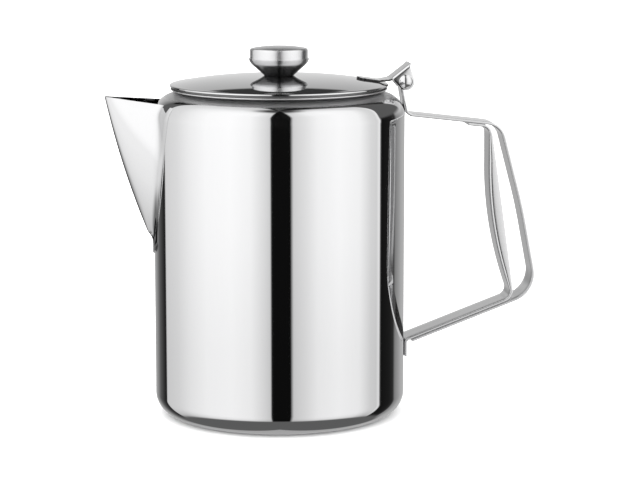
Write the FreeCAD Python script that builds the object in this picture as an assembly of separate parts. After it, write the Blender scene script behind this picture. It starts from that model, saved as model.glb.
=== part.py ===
"""Tall stainless pot with a hinged lid, a folded pouring spout and a double-strip handle.

Millimetres. +Z is up, +X points to the handle and -X to the spout.
The origin is the centre of the flat base, on the axis of the vessel.
"""
import FreeCAD, Part
import math
import os

from FreeCAD import Vector

# Vessel
BODY_R = 63.0            # outer radius of the straight wall
BODY_WALL = 0.8          # sheet thickness
BASE_ROUND = 11.0        # radius of the corner between base and wall
WALL_TOP = 151.4         # height where the straight wall ends
SHOULDER_ROUND = 10.8    # radius of the shoulder
SHOULDER_TURN = 68.0     # angle the shoulder turns through before its slope up to the neck
NECK_R = 50.6            # outer radius of the upstand round the mouth
NECK_TOP = 164.2         # height of the mouth's edge, which carries the lid

# Lid
LID_R = 54.7             # outer radius of the lid
LID_TOP = 171.2          # height of the dome's crown
LID_EDGE = 166.8         # height of the dome's outer edge
LID_BEND = 2.5           # power of the dome's curve, which steepens towards the edge
LID_WALL = 0.8
LID_ROLL = 1.1           # width of the lid's turned-under edge
LID_ROLL_LOW = 165.9     # underside of that edge
PAN_R = 54.1             # outer radius of the flange that rests on the neck
PAN_COLLAR_R = 53.3      # outer radius of the ring between the flange and the dome
PAN_WALL = 0.6
FLANGE_T = 0.75
SEAT_GAP = 0.05          # between the neck and the flange
SKIRT_R = 49.2           # outer radius of the wall that locates the lid in the neck
SKIRT_LOW = 159.0
SCREW_HOLE_R = 2.2       # hole at the lid's crown for the knob's screw

# Knob
KNOB_R = 14.5
KNOB_FOOT_R = 7.6
KNOB_SEAM = 179.3        # height where the cap meets the cup
KNOB_SHOULDER = 184.6
KNOB_TOP = 185.9
KNOB_WALL = 0.7
SCREW_R = 2.0

# Spout
SPOUT_WALL = 0.9
SPOUT_TIP_X = -87.1
SPOUT_TIP_Z = 161.7
SPOUT_ROOT_Z = 158.9     # height of the pouring edge where it meets the vessel
SPOUT_MID = (-78.9, 129.4)
SPOUT_LOW = (-67.0, 95.0)
SPOUT_ROOTS = ((95.0, 2.5), (130.0, 13.0), (161.7, 8.0))   # where the sides meet the wall: height, angle
SPOUT_RULES = (95.0, 106.0, 117.0, 128.0, 139.0, 150.0, 161.7)
SADDLE_TOP_ANGLE = 26.5  # half of the saddle's spread round the vessel, at the top
SADDLE_LOW_ANGLE = 9.5   # the same, near its lower end
SADDLE_LOW_Z = 92.0
SADDLE_END_Z = 82.5
SADDLE_TOP_Z = 158.0

# Handle strips
STRIP_W = 16.5
STRIP_T = 1.4
ARM_SLOPE = -0.119       # fall of the upper arm per unit of X
ARM_REF = (77.6, 149.8)  # a point on the upper arm's middle line
LOW_SLOPE = 0.378
LOW_REF = (70.2, 37.35)  # a point on the lower arm's middle line
WEB_X = 63.7             # middle line of the strip where it stands on the vessel
OUTER_CORNER_X = 111.6
OUTER_KNEE = (122.8, 103.0)
OUTER_HEEL_X = 130.9
OUTER_END_X = 66.6
INNER_START_X = 95.0
INNER_LEG_X = 106.4
INNER_LEG_BEND_R = 185.0
INNER_LEG_BEND_Z = 125.0
INNER_LEG_BEND_DEG = 19.0
FOOT_END_Z = 28.0
GRIP_TOP = (107.3, 141.0)
GRIP_END = (118.9, 59.6)

# Hinge
PIN_X = 63.1
PIN_Z = 168.0
PIN_R = 1.5
PIN_HEAD_R = 3.5
PIN_HEAD_H = 2.0
KNUCKLE_R = 3.0
KNUCKLE_W = 12.4
LEAF_T = 1.0
LEAF_W = 15.0
STRAP_W = 12.0
EAR_R = 4.4
EAR_HOLE_R = 1.55        # 0.05 running clearance round the pin
HEAD_GAP = 0.1

FAR = 400.0


def point(x, z, y=0.0):
    return Vector(x, y, z)


def polygon_face(points):
    """Flat face in the XZ plane through a list of (x, z) corners."""
    corners = [point(x, z) for x, z in points]
    return Part.Face(Part.makePolygon(corners + corners[:1]))


def extrude_y(face, width, centre=0.0):
    """Solid of the given width from a face in the XZ plane."""
    solid = face.extrude(Vector(0, width, 0))
    solid.translate(Vector(0, centre - width / 2, 0))
    return solid


def rounded_path(corners, radii):
    """Wire through (x, z) corners, with an arc of its own radius at each inner corner."""
    edges = []
    start = point(*corners[0])
    for before, corner, after, radius in zip(corners, corners[1:], corners[2:], radii):
        here = point(*corner)
        back = (point(*before) - here).normalize()
        ahead = (point(*after) - here).normalize()
        half = back.getAngle(ahead) / 2
        reach = radius / math.tan(half)
        middle = (back + ahead).normalize()
        first = here + back * reach
        last = here + ahead * reach
        crown = here + middle * (radius / math.sin(half) - radius)
        edges.append(Part.makeLine(start, first))
        edges.append(Part.Arc(first, crown, last).toShape())
        start = last
    edges.append(Part.makeLine(start, point(*corners[-1])))
    return Part.Wire(edges)


def strip(corners, radii, thickness, width):
    """Flat strip bent along a path, centred on the path and on the XZ plane."""
    half = thickness / 2
    path = rounded_path(corners, radii)
    sides = []
    for offset in (half, -half):
        sides.append(path.makeOffset2D(offset, 0, False, True, False))
    caps = []
    for end in (0, 1):
        ends = [side.OrderedVertexes[-end].Point for side in sides]
        caps.append(Part.makeLine(*ends))
    outline = Part.Wire(Part.__sortEdges__(sides[0].Edges + sides[1].Edges + caps))
    return extrude_y(Part.Face(outline), width)


def turned(points):
    """Solid of revolution round Z from (r, z) corners and ('arc', r, z) mid points."""
    edges = []
    previous = point(*points[0])
    through = None
    for item in list(points[1:]) + [points[0]]:
        if item[0] == "arc":
            through = point(item[1], item[2])
            continue
        here = point(*item)
        if through is None:
            edges.append(Part.makeLine(previous, here))
        else:
            edges.append(Part.Arc(previous, through, here).toShape())
        through = None
        previous = here
    face = Part.Face(Part.Wire(edges))
    return face.revolve(Vector(0, 0, 0), Vector(0, 0, 1), 360)


def arc_point(centre_r, centre_z, radius, degrees):
    turn = math.radians(degrees)
    return (centre_r + radius * math.cos(turn), centre_z + radius * math.sin(turn))


def cylinder_y(radius, width, x, z):
    """Cylinder along Y, centred on the XZ plane."""
    return Part.makeCylinder(radius, width, Vector(x, -width / 2, z), Vector(0, 1, 0))


def spout_half_spread(z):
    """Half angle of the saddle round the vessel at a height."""
    share = (z - SADDLE_LOW_Z) / (SADDLE_TOP_Z - SADDLE_LOW_Z)
    return SADDLE_LOW_ANGLE + share * (SADDLE_TOP_ANGLE - SADDLE_LOW_ANGLE)


def shoulder_point(radius, degrees=SHOULDER_TURN):
    """Point on a shoulder arc of the given radius."""
    return arc_point(BODY_R - SHOULDER_ROUND, WALL_TOP, radius, degrees)


def slope_z(r, radius=SHOULDER_ROUND):
    """Height of the straight slope that goes on from a shoulder arc."""
    end = shoulder_point(radius)
    return end[1] + (end[0] - r) / math.tan(math.radians(SHOULDER_TURN))


def vessel_outline():
    """Outer outline of the vessel, from the middle of its base up to its neck."""
    return [
        (0, 0),
        (BODY_R - BASE_ROUND, 0),
        ("arc",) + arc_point(BODY_R - BASE_ROUND, BASE_ROUND, BASE_ROUND, -45),
        (BODY_R, BASE_ROUND),
        (BODY_R, WALL_TOP),
        ("arc",) + shoulder_point(SHOULDER_ROUND, SHOULDER_TURN / 2),
        shoulder_point(SHOULDER_ROUND),
        (NECK_R, slope_z(NECK_R)),
        (NECK_R, NECK_TOP),
    ]


def make_body_shell():
    neck_in = NECK_R - BODY_WALL
    inner_base = BASE_ROUND - BODY_WALL
    inner_shoulder = SHOULDER_ROUND - BODY_WALL
    inner_r = BODY_R - BODY_WALL
    shell = turned(vessel_outline() + [
        (neck_in, NECK_TOP),
        (neck_in, slope_z(neck_in, inner_shoulder)),
        shoulder_point(inner_shoulder),
        ("arc",) + shoulder_point(inner_shoulder, SHOULDER_TURN / 2),
        (inner_r, WALL_TOP),
        (inner_r, BASE_ROUND),
        ("arc",) + arc_point(BODY_R - BASE_ROUND, BASE_ROUND, inner_base, -45),
        (BODY_R - BASE_ROUND, BODY_WALL),
        (0, BODY_WALL),
    ])
    window = Part.Face(Part.makePolygon([
        Vector(-FAR, -6.0, 146.0),
        Vector(-FAR, 6.0, 146.0),
        Vector(-FAR, 2.4, 104.0),
        Vector(-FAR, -2.4, 104.0),
        Vector(-FAR, -6.0, 146.0),
    ])).extrude(Vector(FAR, 0, 0))
    return shell.cut(window)


def crease_point(z):
    """Point of the spout's front line at a height."""
    tip = point(SPOUT_TIP_X, SPOUT_TIP_Z)
    arc = Part.Arc(point(*SPOUT_LOW), point(*SPOUT_MID), tip).toShape().Curve
    reach = math.sqrt(arc.Radius ** 2 - (z - arc.Center.z) ** 2)
    return point(arc.Center.x + math.copysign(reach, SPOUT_MID[0] - arc.Center.x), z)


def root_angle(z):
    """Angle from the mid plane at which the spout's sides meet the wall, on a smooth curve."""
    total = 0.0
    for here, angle in SPOUT_ROOTS:
        weight = 1.0
        for other, _ in SPOUT_ROOTS:
            if other != here:
                weight *= (z - other) / (here - other)
        total += weight * angle
    return math.radians(total)


def curve_through(points):
    curve = Part.BSplineCurve()
    curve.interpolate(points)
    return curve.toShape()


def spout_side(hand):
    """One side of the spout: a ruled sheet from the front line to a curve behind the wall."""
    front = []
    back = []
    for z in SPOUT_RULES:
        crease = crease_point(z)
        turn = root_angle(z)
        root = Vector(-BODY_R * math.cos(turn), hand * BODY_R * math.sin(turn), z)
        front.append(crease)
        back.append(crease + (root - crease) * 1.4)
    sheet = Part.makeRuledSurface(curve_through(front), curve_through(back))
    lean = math.radians(28.0)
    return sheet.extrude(Vector(math.sin(lean), -hand * math.cos(lean), 0) * SPOUT_WALL)


def make_saddle():
    """Thin patch on the vessel's wall and shoulder that the spout's sides run into."""
    core = [(BODY_R, SADDLE_END_Z), (BODY_R, WALL_TOP), ("arc",) + shoulder_point(SHOULDER_ROUND, 20.0)]
    rise = SADDLE_TOP_Z - WALL_TOP
    top_r = BODY_R - SHOULDER_ROUND + math.sqrt(SHOULDER_ROUND ** 2 - rise ** 2)
    skin_r = BODY_R - SHOULDER_ROUND + math.sqrt((SHOULDER_ROUND + SPOUT_WALL) ** 2 - rise ** 2)
    blank = turned(core + [
        (top_r, SADDLE_TOP_Z),
        (skin_r, SADDLE_TOP_Z),
        ("arc",) + shoulder_point(SHOULDER_ROUND + SPOUT_WALL, 20.0),
        (BODY_R + SPOUT_WALL, WALL_TOP),
        (BODY_R + SPOUT_WALL, SADDLE_END_Z),
    ])
    outline = []
    for z in (SADDLE_TOP_Z, SADDLE_LOW_Z):
        y = BODY_R * math.sin(math.radians(spout_half_spread(z)))
        outline.append(Vector(-FAR, -y, z))
    top, low = outline
    tail = Vector(-FAR, 0, SADDLE_END_Z)
    other_top = Vector(-FAR, -top.y, top.z)
    other_low = Vector(-FAR, -low.y, low.z)
    edges = [
        Part.makeLine(top, low),
        Part.Arc(low, tail, other_low).toShape(),
        Part.makeLine(other_low, other_top),
        Part.makeLine(other_top, top),
    ]
    prism = Part.Face(Part.Wire(edges)).extrude(Vector(FAR, 0, 0))
    return blank.common(prism)


def lid_clearance():
    """Block above the spout's pouring edge, which runs from the vessel up to the tip."""
    slope = (SPOUT_TIP_Z - SPOUT_ROOT_Z) / (abs(SPOUT_TIP_X) - BODY_R)
    corners = [(x, SPOUT_ROOT_Z + slope * (abs(x) - BODY_R)) for x in (0.0, 2 * SPOUT_TIP_X)]
    block = polygon_face(corners + [(2 * SPOUT_TIP_X, FAR), (0.0, FAR)])
    return extrude_y(block, 2 * FAR)


def make_spout():
    window = Part.makeBox(40, 6.4, 40.0, Vector(-BODY_R - 20, -3.2, 108.0))
    sides = spout_side(-1).fuse(spout_side(1))
    vessel = turned(vessel_outline() + [(0, NECK_TOP)])
    spout = sides.fuse(make_saddle().cut(window)).cut(lid_clearance()).cut(vessel)
    return max(spout.Solids, key=lambda solid: solid.Volume)


def arm_z(x, layer=0.0):
    """Middle line of the upper arm; layer counts strips downwards."""
    return ARM_REF[1] + ARM_SLOPE * (x - ARM_REF[0]) - layer * STRIP_T * math.hypot(1, ARM_SLOPE)


def low_z(x, layer=0.0):
    """Middle line of the lower arm; layer counts strips upwards."""
    return LOW_REF[1] + LOW_SLOPE * (x - LOW_REF[0]) + layer * STRIP_T * math.hypot(1, LOW_SLOPE)


def web_outline():
    """Front outline of the outer strip, narrowed below the knuckle."""
    half = STRIP_W / 2
    neck = KNUCKLE_W / 2
    corners = [(-half, 0), (half, 0), (half, 153.5), (neck, 159.5), (neck, FAR), (-neck, FAR),
               (-neck, 159.5), (-half, 153.5), (-half, 0)]
    face = Part.Face(Part.makePolygon([Vector(0, y, z) for y, z in corners]))
    return face.extrude(Vector(FAR, 0, 0))


def make_handle_outer():
    corners = [
        (PIN_X - 0.5, PIN_Z - 2.0),
        (WEB_X, arm_z(WEB_X)),
        (OUTER_CORNER_X, arm_z(OUTER_CORNER_X)),
        OUTER_KNEE,
        (OUTER_HEEL_X, low_z(OUTER_HEEL_X)),
        (OUTER_END_X, low_z(OUTER_END_X)),
    ]
    bar = strip(corners, (4.0, 10.0, 260.0, 14.0), STRIP_T, STRIP_W)
    bar = bar.common(web_outline())
    bar = bar.fuse(cylinder_y(KNUCKLE_R, KNUCKLE_W, PIN_X, PIN_Z))
    return bar.cut(cylinder_y(PIN_R, 2 * KNUCKLE_W, PIN_X, PIN_Z)).removeSplitter()


def grip_flange(hand):
    """Turned-back edge of the inner leg: deep at mid height and nothing at its ends."""
    centre_x = INNER_LEG_X + INNER_LEG_BEND_R
    ends = []
    for degrees in (0.0, INNER_LEG_BEND_DEG / 2, INNER_LEG_BEND_DEG):
        turn = math.radians(180.0 + degrees)
        ends.append(point(centre_x + INNER_LEG_BEND_R * math.cos(turn),
                          INNER_LEG_BEND_Z + INNER_LEG_BEND_R * math.sin(turn)))
    top = point(INNER_LEG_X, GRIP_TOP[1])
    low = point(GRIP_END[0] - 0.9, GRIP_END[1])
    edges = [
        Part.makeLine(top, ends[0]),
        Part.Arc(ends[0], ends[1], ends[2]).toShape(),
        Part.makeLine(ends[2], low),
        Part.makeLine(low, point(*GRIP_END)),
        Part.makeLine(point(*GRIP_END), point(*GRIP_TOP)),
        Part.makeLine(point(*GRIP_TOP), top),
    ]
    return extrude_y(Part.Face(Part.Wire(edges)), STRIP_T, hand * (STRIP_W - STRIP_T) / 2)


def make_handle_inner():
    bend = math.radians(INNER_LEG_BEND_DEG)
    knee_z = INNER_LEG_BEND_Z - INNER_LEG_BEND_R * math.tan(bend / 2)
    slope = math.tan(bend)
    heel_z = (low_z(INNER_LEG_X, 1) + LOW_SLOPE * slope * knee_z) / (1 + LOW_SLOPE * slope)
    heel_x = INNER_LEG_X + slope * (knee_z - heel_z)
    corners = [
        (INNER_START_X, arm_z(INNER_START_X, 1)),
        (INNER_LEG_X, arm_z(INNER_LEG_X, 1)),
        (INNER_LEG_X, knee_z),
        (heel_x, heel_z),
        (WEB_X, low_z(WEB_X, 1)),
        (WEB_X, FOOT_END_Z),
    ]
    bar = strip(corners, (5.0, INNER_LEG_BEND_R, 5.0, 2.5), STRIP_T, STRIP_W)
    return bar.fuse(grip_flange(-1)).fuse(grip_flange(1)).removeSplitter()


def make_hinge_pin():
    shank = LEAF_W + 2 * HEAD_GAP
    pin = cylinder_y(PIN_R, shank, PIN_X, PIN_Z)
    ball_r = (PIN_HEAD_R ** 2 + PIN_HEAD_H ** 2) / (2 * PIN_HEAD_H)
    for hand in (-1, 1):
        face_y = hand * shank / 2
        ball = Part.makeSphere(ball_r, Vector(PIN_X, face_y - hand * (ball_r - PIN_HEAD_H), PIN_Z))
        keep = Part.makeCylinder(PIN_HEAD_R + 1, 2 * ball_r, Vector(PIN_X, face_y, PIN_Z), Vector(0, hand, 0))
        pin = pin.fuse(ball.common(keep))
    return pin.removeSplitter()


def dome_z(r):
    """Height of the lid's upper face at a radius."""
    return LID_TOP - (LID_TOP - LID_EDGE) * (r / LID_R) ** LID_BEND


def dome_run(radii, drop=0.0):
    """Corners and arcs along the dome through the given radii, lowered by a distance."""
    run = []
    for start, end in zip(radii, radii[1:]):
        middle = (start + end) / 2
        run.append(("arc", middle, dome_z(middle) - drop))
        run.append((end, dome_z(end) - drop))
    return run


def make_lid_cover():
    edge = LID_R - LID_ROLL / 2
    edge_in = LID_R - LID_ROLL
    inside_z = dome_z(edge_in) - LID_WALL
    cover = turned(
        [(0, LID_TOP)]
        + dome_run((0, 20.0, 38.0, edge))
        + [
            ("arc", LID_R - 0.15, LID_EDGE - 0.2),
            (LID_R, LID_EDGE - 0.6),
            (LID_R, LID_ROLL_LOW),
            (edge_in, LID_ROLL_LOW),
            (edge_in, inside_z),
        ]
        + dome_run((edge_in, 38.0, 20.0, 0), LID_WALL)
    )
    return cover.cut(Part.makeCylinder(SCREW_HOLE_R, FAR))


def make_lid_skirt():
    """Pan under the lid: a ring up to the dome, a flange on the neck and a wall down into the neck."""
    inner = SKIRT_R - PAN_WALL
    collar_in = PAN_COLLAR_R - PAN_WALL
    flange = NECK_TOP + SEAT_GAP
    return turned([
        (SKIRT_R, SKIRT_LOW),
        (SKIRT_R, flange),
        (PAN_R, flange),
        (PAN_R, flange + FLANGE_T),
        (PAN_COLLAR_R, flange + FLANGE_T),
        (PAN_COLLAR_R, dome_z(PAN_COLLAR_R) - LID_WALL),
        (collar_in, dome_z(collar_in) - LID_WALL),
        (collar_in, flange + FLANGE_T),
        (inner, flange + FLANGE_T),
        (inner, SKIRT_LOW),
    ])


def make_knob_cup():
    foot = LID_TOP + 0.05
    return turned([
        (SCREW_R + 0.15, foot),
        (KNOB_FOOT_R, foot),
        (13.4, 177.1),
        (KNOB_R, KNOB_SEAM),
        (KNOB_R - KNOB_WALL, KNOB_SEAM),
        (12.6, 177.3),
        (KNOB_FOOT_R - 0.4, foot + KNOB_WALL),
        (SCREW_R + 0.15, foot + KNOB_WALL),
    ])


def make_knob_cap():
    inner = KNOB_R - KNOB_WALL
    return turned([
        (0, KNOB_TOP),
        ("arc", KNOB_R / 2, KNOB_TOP - 0.28),
        (KNOB_R - 1.2, KNOB_SHOULDER + 0.25),
        ("arc", KNOB_R - 0.3, KNOB_SHOULDER - 0.1),
        (KNOB_R, KNOB_SHOULDER - 1.0),
        (KNOB_R, KNOB_SEAM + 0.6),
        (KNOB_R + 0.25, KNOB_SEAM + 0.3),
        (KNOB_R + 0.25, KNOB_SEAM),
        (inner, KNOB_SEAM),
        (inner, KNOB_SHOULDER - 0.9),
        (0, KNOB_TOP - KNOB_WALL - 0.6),
    ])


def make_knob_boss():
    """Threaded boss fixed inside the cup."""
    foot = LID_TOP + 0.05 + KNOB_WALL
    boss = Part.makeCylinder(4.2, 6.0, Vector(0, 0, foot))
    return boss.cut(Part.makeCylinder(SCREW_R, 6.0, Vector(0, 0, foot)))


def make_knob_washer():
    top = LID_TOP - LID_WALL - 0.15
    washer = Part.makeCylinder(5.0, 0.8, Vector(0, 0, top - 0.8))
    return washer.cut(Part.makeCylinder(SCREW_HOLE_R, 0.8, Vector(0, 0, top - 0.8)))


def make_knob_screw():
    seat = LID_TOP - LID_WALL - 0.15 - 0.8
    shank = Part.makeCylinder(SCREW_R, 7.5, Vector(0, 0, seat))
    head = Part.makeCylinder(3.6, 1.8, Vector(0, 0, seat - 1.8))
    slot = Part.makeBox(8.0, 0.9, 0.9, Vector(-4.0, -0.45, seat - 1.8))
    return shank.fuse(head).cut(slot).removeSplitter()


def tangent_point(x, z, hand):
    """Where a line from (x, z) touches the ear's round end."""
    away = math.atan2(z - PIN_Z, x - PIN_X)
    swing = math.acos(EAR_R / math.hypot(x - PIN_X, z - PIN_Z))
    turn = away + hand * swing
    return (PIN_X + EAR_R * math.cos(turn), PIN_Z + EAR_R * math.sin(turn))


def leaf_corners():
    """Path of the leaf: strap on the lid, short rise, then the thumb plate."""
    strap_lift = LEAF_T / 2 + 0.03
    return [
        (39.3, dome_z(39.3) + strap_lift),
        (50.3, dome_z(50.3) + strap_lift),
        (55.6, 168.9),
        (65.8, 176.8),
    ]


def leaf_plan():
    """Plan outline of the leaf: a round-ended strap that widens to the thumb plate."""
    narrow = STRAP_W / 2
    wide = LEAF_W / 2
    end = 39.3
    nose = Part.Arc(Vector(end + 3.5, narrow, 0), Vector(end, 0, 0), Vector(end + 3.5, -narrow, 0)).toShape()
    corners = [(end + 3.5, -narrow), (51.5, -narrow), (55.0, -wide), (FAR, -wide), (FAR, wide),
               (55.0, wide), (51.5, narrow), (end + 3.5, narrow)]
    run = [Vector(x, y, 0) for x, y in corners]
    edges = [nose] + [Part.makeLine(a, b) for a, b in zip(run, run[1:])]
    return Part.Face(Part.Wire(edges)).extrude(Vector(0, 0, FAR))


def make_hinge_leaf():
    bent = strip(leaf_corners(), (3.0, 2.5), LEAF_T, LEAF_W + 1.0).common(leaf_plan())
    left = (56.2, 168.9)
    right = (65.2, 175.9)
    outline = [left, right, tangent_point(*right, -1), (PIN_X, PIN_Z), tangent_point(*left, 1)]
    leaf = bent
    for hand in (-1, 1):
        side = hand * (LEAF_W - LEAF_T) / 2
        leaf = leaf.fuse(extrude_y(polygon_face(outline), LEAF_T, side))
        disc = cylinder_y(EAR_R, LEAF_T, PIN_X, PIN_Z)
        disc.translate(Vector(0, side, 0))
        leaf = leaf.fuse(disc)
    return leaf.cut(cylinder_y(EAR_HOLE_R, 2 * LEAF_W, PIN_X, PIN_Z)).removeSplitter()


PARTS = {
    "body_shell": make_body_shell,
    "spout": make_spout,
    "handle_outer_strip": make_handle_outer,
    "handle_inner_strip": make_handle_inner,
    "hinge_pin": make_hinge_pin,
    "lid_cover": make_lid_cover,
    "lid_skirt": make_lid_skirt,
    "hinge_leaf": make_hinge_leaf,
    "knob_cap": make_knob_cap,
    "knob_cup": make_knob_cup,
    "knob_boss": make_knob_boss,
    "knob_washer": make_knob_washer,
    "knob_screw": make_knob_screw,
}

os.makedirs("parts", exist_ok=True)
for name, make in PARTS.items():
    shape = make()
    print(name, "valid", shape.isValid(), "solids", len(shape.Solids), "volume", round(shape.Volume, 1))
    shape.exportStep(os.path.join("parts", name + ".step"))
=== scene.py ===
"""Looks of the tall steel pot: polished sheet meshes and steel materials on the CAD frame."""

import math

import bmesh
import bpy
from mathutils import Matrix, Vector


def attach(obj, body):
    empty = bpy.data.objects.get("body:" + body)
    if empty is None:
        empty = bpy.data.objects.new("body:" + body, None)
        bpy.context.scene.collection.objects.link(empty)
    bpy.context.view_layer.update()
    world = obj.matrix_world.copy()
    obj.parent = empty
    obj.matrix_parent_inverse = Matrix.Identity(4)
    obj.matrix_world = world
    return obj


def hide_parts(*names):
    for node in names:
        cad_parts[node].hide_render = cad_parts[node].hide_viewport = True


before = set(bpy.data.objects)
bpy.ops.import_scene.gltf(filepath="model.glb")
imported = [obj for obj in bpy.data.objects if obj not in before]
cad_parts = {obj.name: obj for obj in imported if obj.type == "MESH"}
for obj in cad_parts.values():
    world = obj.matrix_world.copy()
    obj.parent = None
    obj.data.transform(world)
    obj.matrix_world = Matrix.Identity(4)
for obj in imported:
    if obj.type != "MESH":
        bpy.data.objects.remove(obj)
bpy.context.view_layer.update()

# Sizes are in millimetres and angles in degrees, unless a name or comment says otherwise.
MM = 0.001

# Vessel
BODY_R = 63.0
BODY_WALL = 0.8
BASE_ROUND = 11.0
WALL_TOP = 151.4
SHOULDER_ROUND = 10.8
SHOULDER_TURN = 68.0
NECK_R = 50.6
NECK_TOP = 164.2
NECK_ROOT_R = 0.7

# Window from the vessel into the spout: half width and height of its two ends, and the cutter's reach
WINDOW_TOP = (6.0, 146.0)
WINDOW_LOW = (2.4, 104.0)
WINDOW_REACH = (52.0, 75.0)

# Lid
LID_R = 54.7
LID_TOP = 171.2
LID_EDGE = 166.8
LID_BEND = 2.5
LID_WALL = 0.8
ROLL_R = 0.55
ROLL_LOW = 165.9

# Pan under the lid
PAN_R = 54.1
PAN_COLLAR_R = 53.3
PAN_WALL = 0.6
PAN_BEAD_R = 0.38
PAN_LIFT = 0.08
SKIRT_R = 49.2
SKIRT_LOW = 159.0

# Knob: KNOB_WAIST is the centre and radius of the hollow arc of its lower shell
KNOB_R = 14.5
KNOB_FOOT_R = 7.6
KNOB_WAIST = ((10.1, 180.4), 5.05)
KNOB_SEAM = 179.3
KNOB_SHOULDER = 184.6
KNOB_TOP = 185.9
KNOB_CROWN = 1.1
KNOB_WALL = 0.7
KNOB_BEAD_R = 0.3
BOSS_HOLE_R = 2.2

# Spout: SPOUT_ARC gives three (reach, height) points of its front line, and SPOUT_ROOTS
# (height, angle from the mid plane) where its sides meet the wall
SPOUT_WALL = 0.8
SPOUT_TIP = (87.0, 161.6)
SPOUT_ROOT = (60.5, 158.7)
SPOUT_ARC = ((67.0, 95.0), (78.9, 129.4), (87.1, 161.7))
SPOUT_START_Z = (87.0, 94.0)
SPOUT_ROOTS = ((95.0, 2.5), (130.0, 13.0), (161.7, 8.0))
SPOUT_NOSE = math.radians(2.8)
SPOUT_BLEND = 2.5

# Saddle of the spout, which wraps the vessel
SADDLE_TOP_ANGLE = math.radians(26.5)
SADDLE_LOW_ANGLE = math.radians(9.5)
SADDLE_LOW_Z = 92.0
SADDLE_END_Z = 82.5
SADDLE_TOP_Z = 158.0
SADDLE_BLEND = 2.5
SADDLE_PROUD = 0.45
SADDLE_EDGE_PROUD = 0.06

# Handle strips: a REF is an (x, z) point of an arm's middle line, and OUTER_BENDS are bend radii
STRIP_W = 16.5
STRIP_T = 1.4
KNUCKLE_W = 12.4
KNUCKLE_Z = (153.5, 159.5)
ARM_SLOPE = -0.119
ARM_REF = (77.6, 149.8)
LOW_SLOPE = 0.378
LOW_REF = (70.2, 37.35)
WEB_X = 63.7
OUTER_CORNER_X = 111.6
OUTER_KNEE = (122.8, 103.0)
OUTER_HEEL_X = 130.9
OUTER_END_X = 66.6
OUTER_BENDS = (4.0, 10.0, 260.0, 14.0)
INNER_START_X = 95.0
INNER_LEG_X = 106.4
INNER_BEND_R = 185.0
INNER_BEND_Z = 125.0
INNER_BEND = math.radians(19.0)
INNER_CORNER_R = 5.0
INNER_FOOT_R = 2.5
FOOT_END_Z = 28.0
GRIP_TOP = (107.3, 141.0)
GRIP_END = (118.9, 59.6)

# Hinge
PIN_X = 63.1
PIN_Z = 168.0
PIN_R = 1.5
PIN_HEAD_R = 3.5
PIN_HEAD_H = 2.0
PIN_RIM = 0.25
HEAD_GAP = 0.1
CURL_R = 2.25
CURL_TURN = 290
LEAF_T = 1.0
LEAF_W = 15.0
LEAF_LIFT = 0.03
LEAF_START_X = 39.3
LEAF_BEND_X = 50.3
LEAF_ROOT = (55.6, 168.9)
LEAF_TIP = (65.8, 176.8)
LEAF_WIDEN_X = (51.5, 55.0)
LEAF_NOSE = 3.5
LEAF_TAIL = 1.2
STRAP_W = 12.0
EAR_R = 4.4
EAR_INSET = 1.0

# Steels: tint, and grain as the axis of the drawing lines, their depth and the sheet's unevenness in metres
BRIGHT = (0.70, 0.70, 0.705)
SATIN = (0.60, 0.60, 0.605)
POLISHED = ("Z", 4e-8, 1.5e-6)
TURNED = ("Z", 1e-7, 1e-6)
PRESSED = ("X", 1e-6, 1e-6)
ROLLED = ("X", 3e-7, 2e-6)
BRUSHED = ("X", 4e-6, 2e-6)
CLOUD_SCALE = 28.0
LINE_SCALE = 2600.0
WAVE_SCALE = 45.0
LINE_STRETCH = 0.03
ROLLED_LINE_SHADE = 0.975

# Painted shade for crevices that the room's light hardly reaches: (height, share of the colour kept)
NECK_SHADE = ((0, 1), (163.3, 1), (163.6, 0.5), (165, 0.5))
ROLL_SHADE = ((160, 0.1), (166.1, 0.1), (166.25, 1), (172, 1))
PAN_SHADE = ((158, 0.7), (163, 0.7), (164.36, 0.7), (164.42, 1), (164.9, 1), (164.96, 0.25), (167, 0.25))
KNOB_FOOT_SHADE = ((170, 0.1), (171.5, 0.16), (175.2, 0.24), (176.6, 0.36), (177.6, 0.85), (180, 1))
SPOUT_INSIDE_KEPT = 0.12
LEAF_EDGE_KEPT = 0.08
LEAF_EDGE_X = (55.5, 57.0)
ROUGH_SHOULDER_Z = (160.3, 161.4)
ROUGH_SHOULDER = 0.3

# Camera, in metres
CAMERA_AZIMUTH = math.radians(-5.7)
CAMERA_DISTANCE = 1.200
CAMERA_HEIGHT = 0.2825
CAMERA_LENS = 135.3
AIM_RIGHT = 0.0205
AIM_HEIGHT = 0.0877

# Floor, in metres
FLOOR_HALF = 30.0
FLOOR_DROP = 0.0002
FLOOR_TINT = (0.93, 0.93, 0.93, 1)

# Room that the steel mirrors: levels round the pot at the height of the horizon, as (azimuth, level)
RING = (
    (-180, 0.70), (-165, 0.60), (-158, 0.46), (-153, 0.37), (-145, 0.16), (-137, 0.07), (-131, 0.02),
    (-129.4, 0.02), (-127.8, 0.9), (-107, 1.02), (-90, 1.22), (-70, 1.38), (-45, 1.42), (-26, 1.33),
    (-15, 1.08), (-8.5, 0.92), (-7, 0.006), (10.5, 0.006), (12, 0.9), (24, 1.08), (35, 1.28), (56, 1.38),
    (78, 1.3), (92, 0.98), (100, 0.92), (104, 1.2), (105.8, 0.01), (122, 0.02), (129.8, 0.045), (134, 0.36),
    (150, 0.62), (180, 0.70),
)
LEVEL_TOP = 1.5

# Soft panels in front: their outer edges, how they widen upwards, and their fade as (height, level)
LEFT_EDGE = -128.5
RIGHT_EDGE = 105.0
PANEL_SPREAD = 0.30
PANEL_SPREAD_FROM = 8.0
PANEL_SPREAD_TO = 50.0
PANEL_FADE = (
    (-90, 0.6), (-37, 0.66), (-30, 0.8), (-22, 0.88), (-12, 0.88), (-9, 0.96), (-6, 1.0), (62, 1.0),
    (72, 0.93), (76, 0.8), (80, 0.35), (84, 0.06),
)

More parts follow.
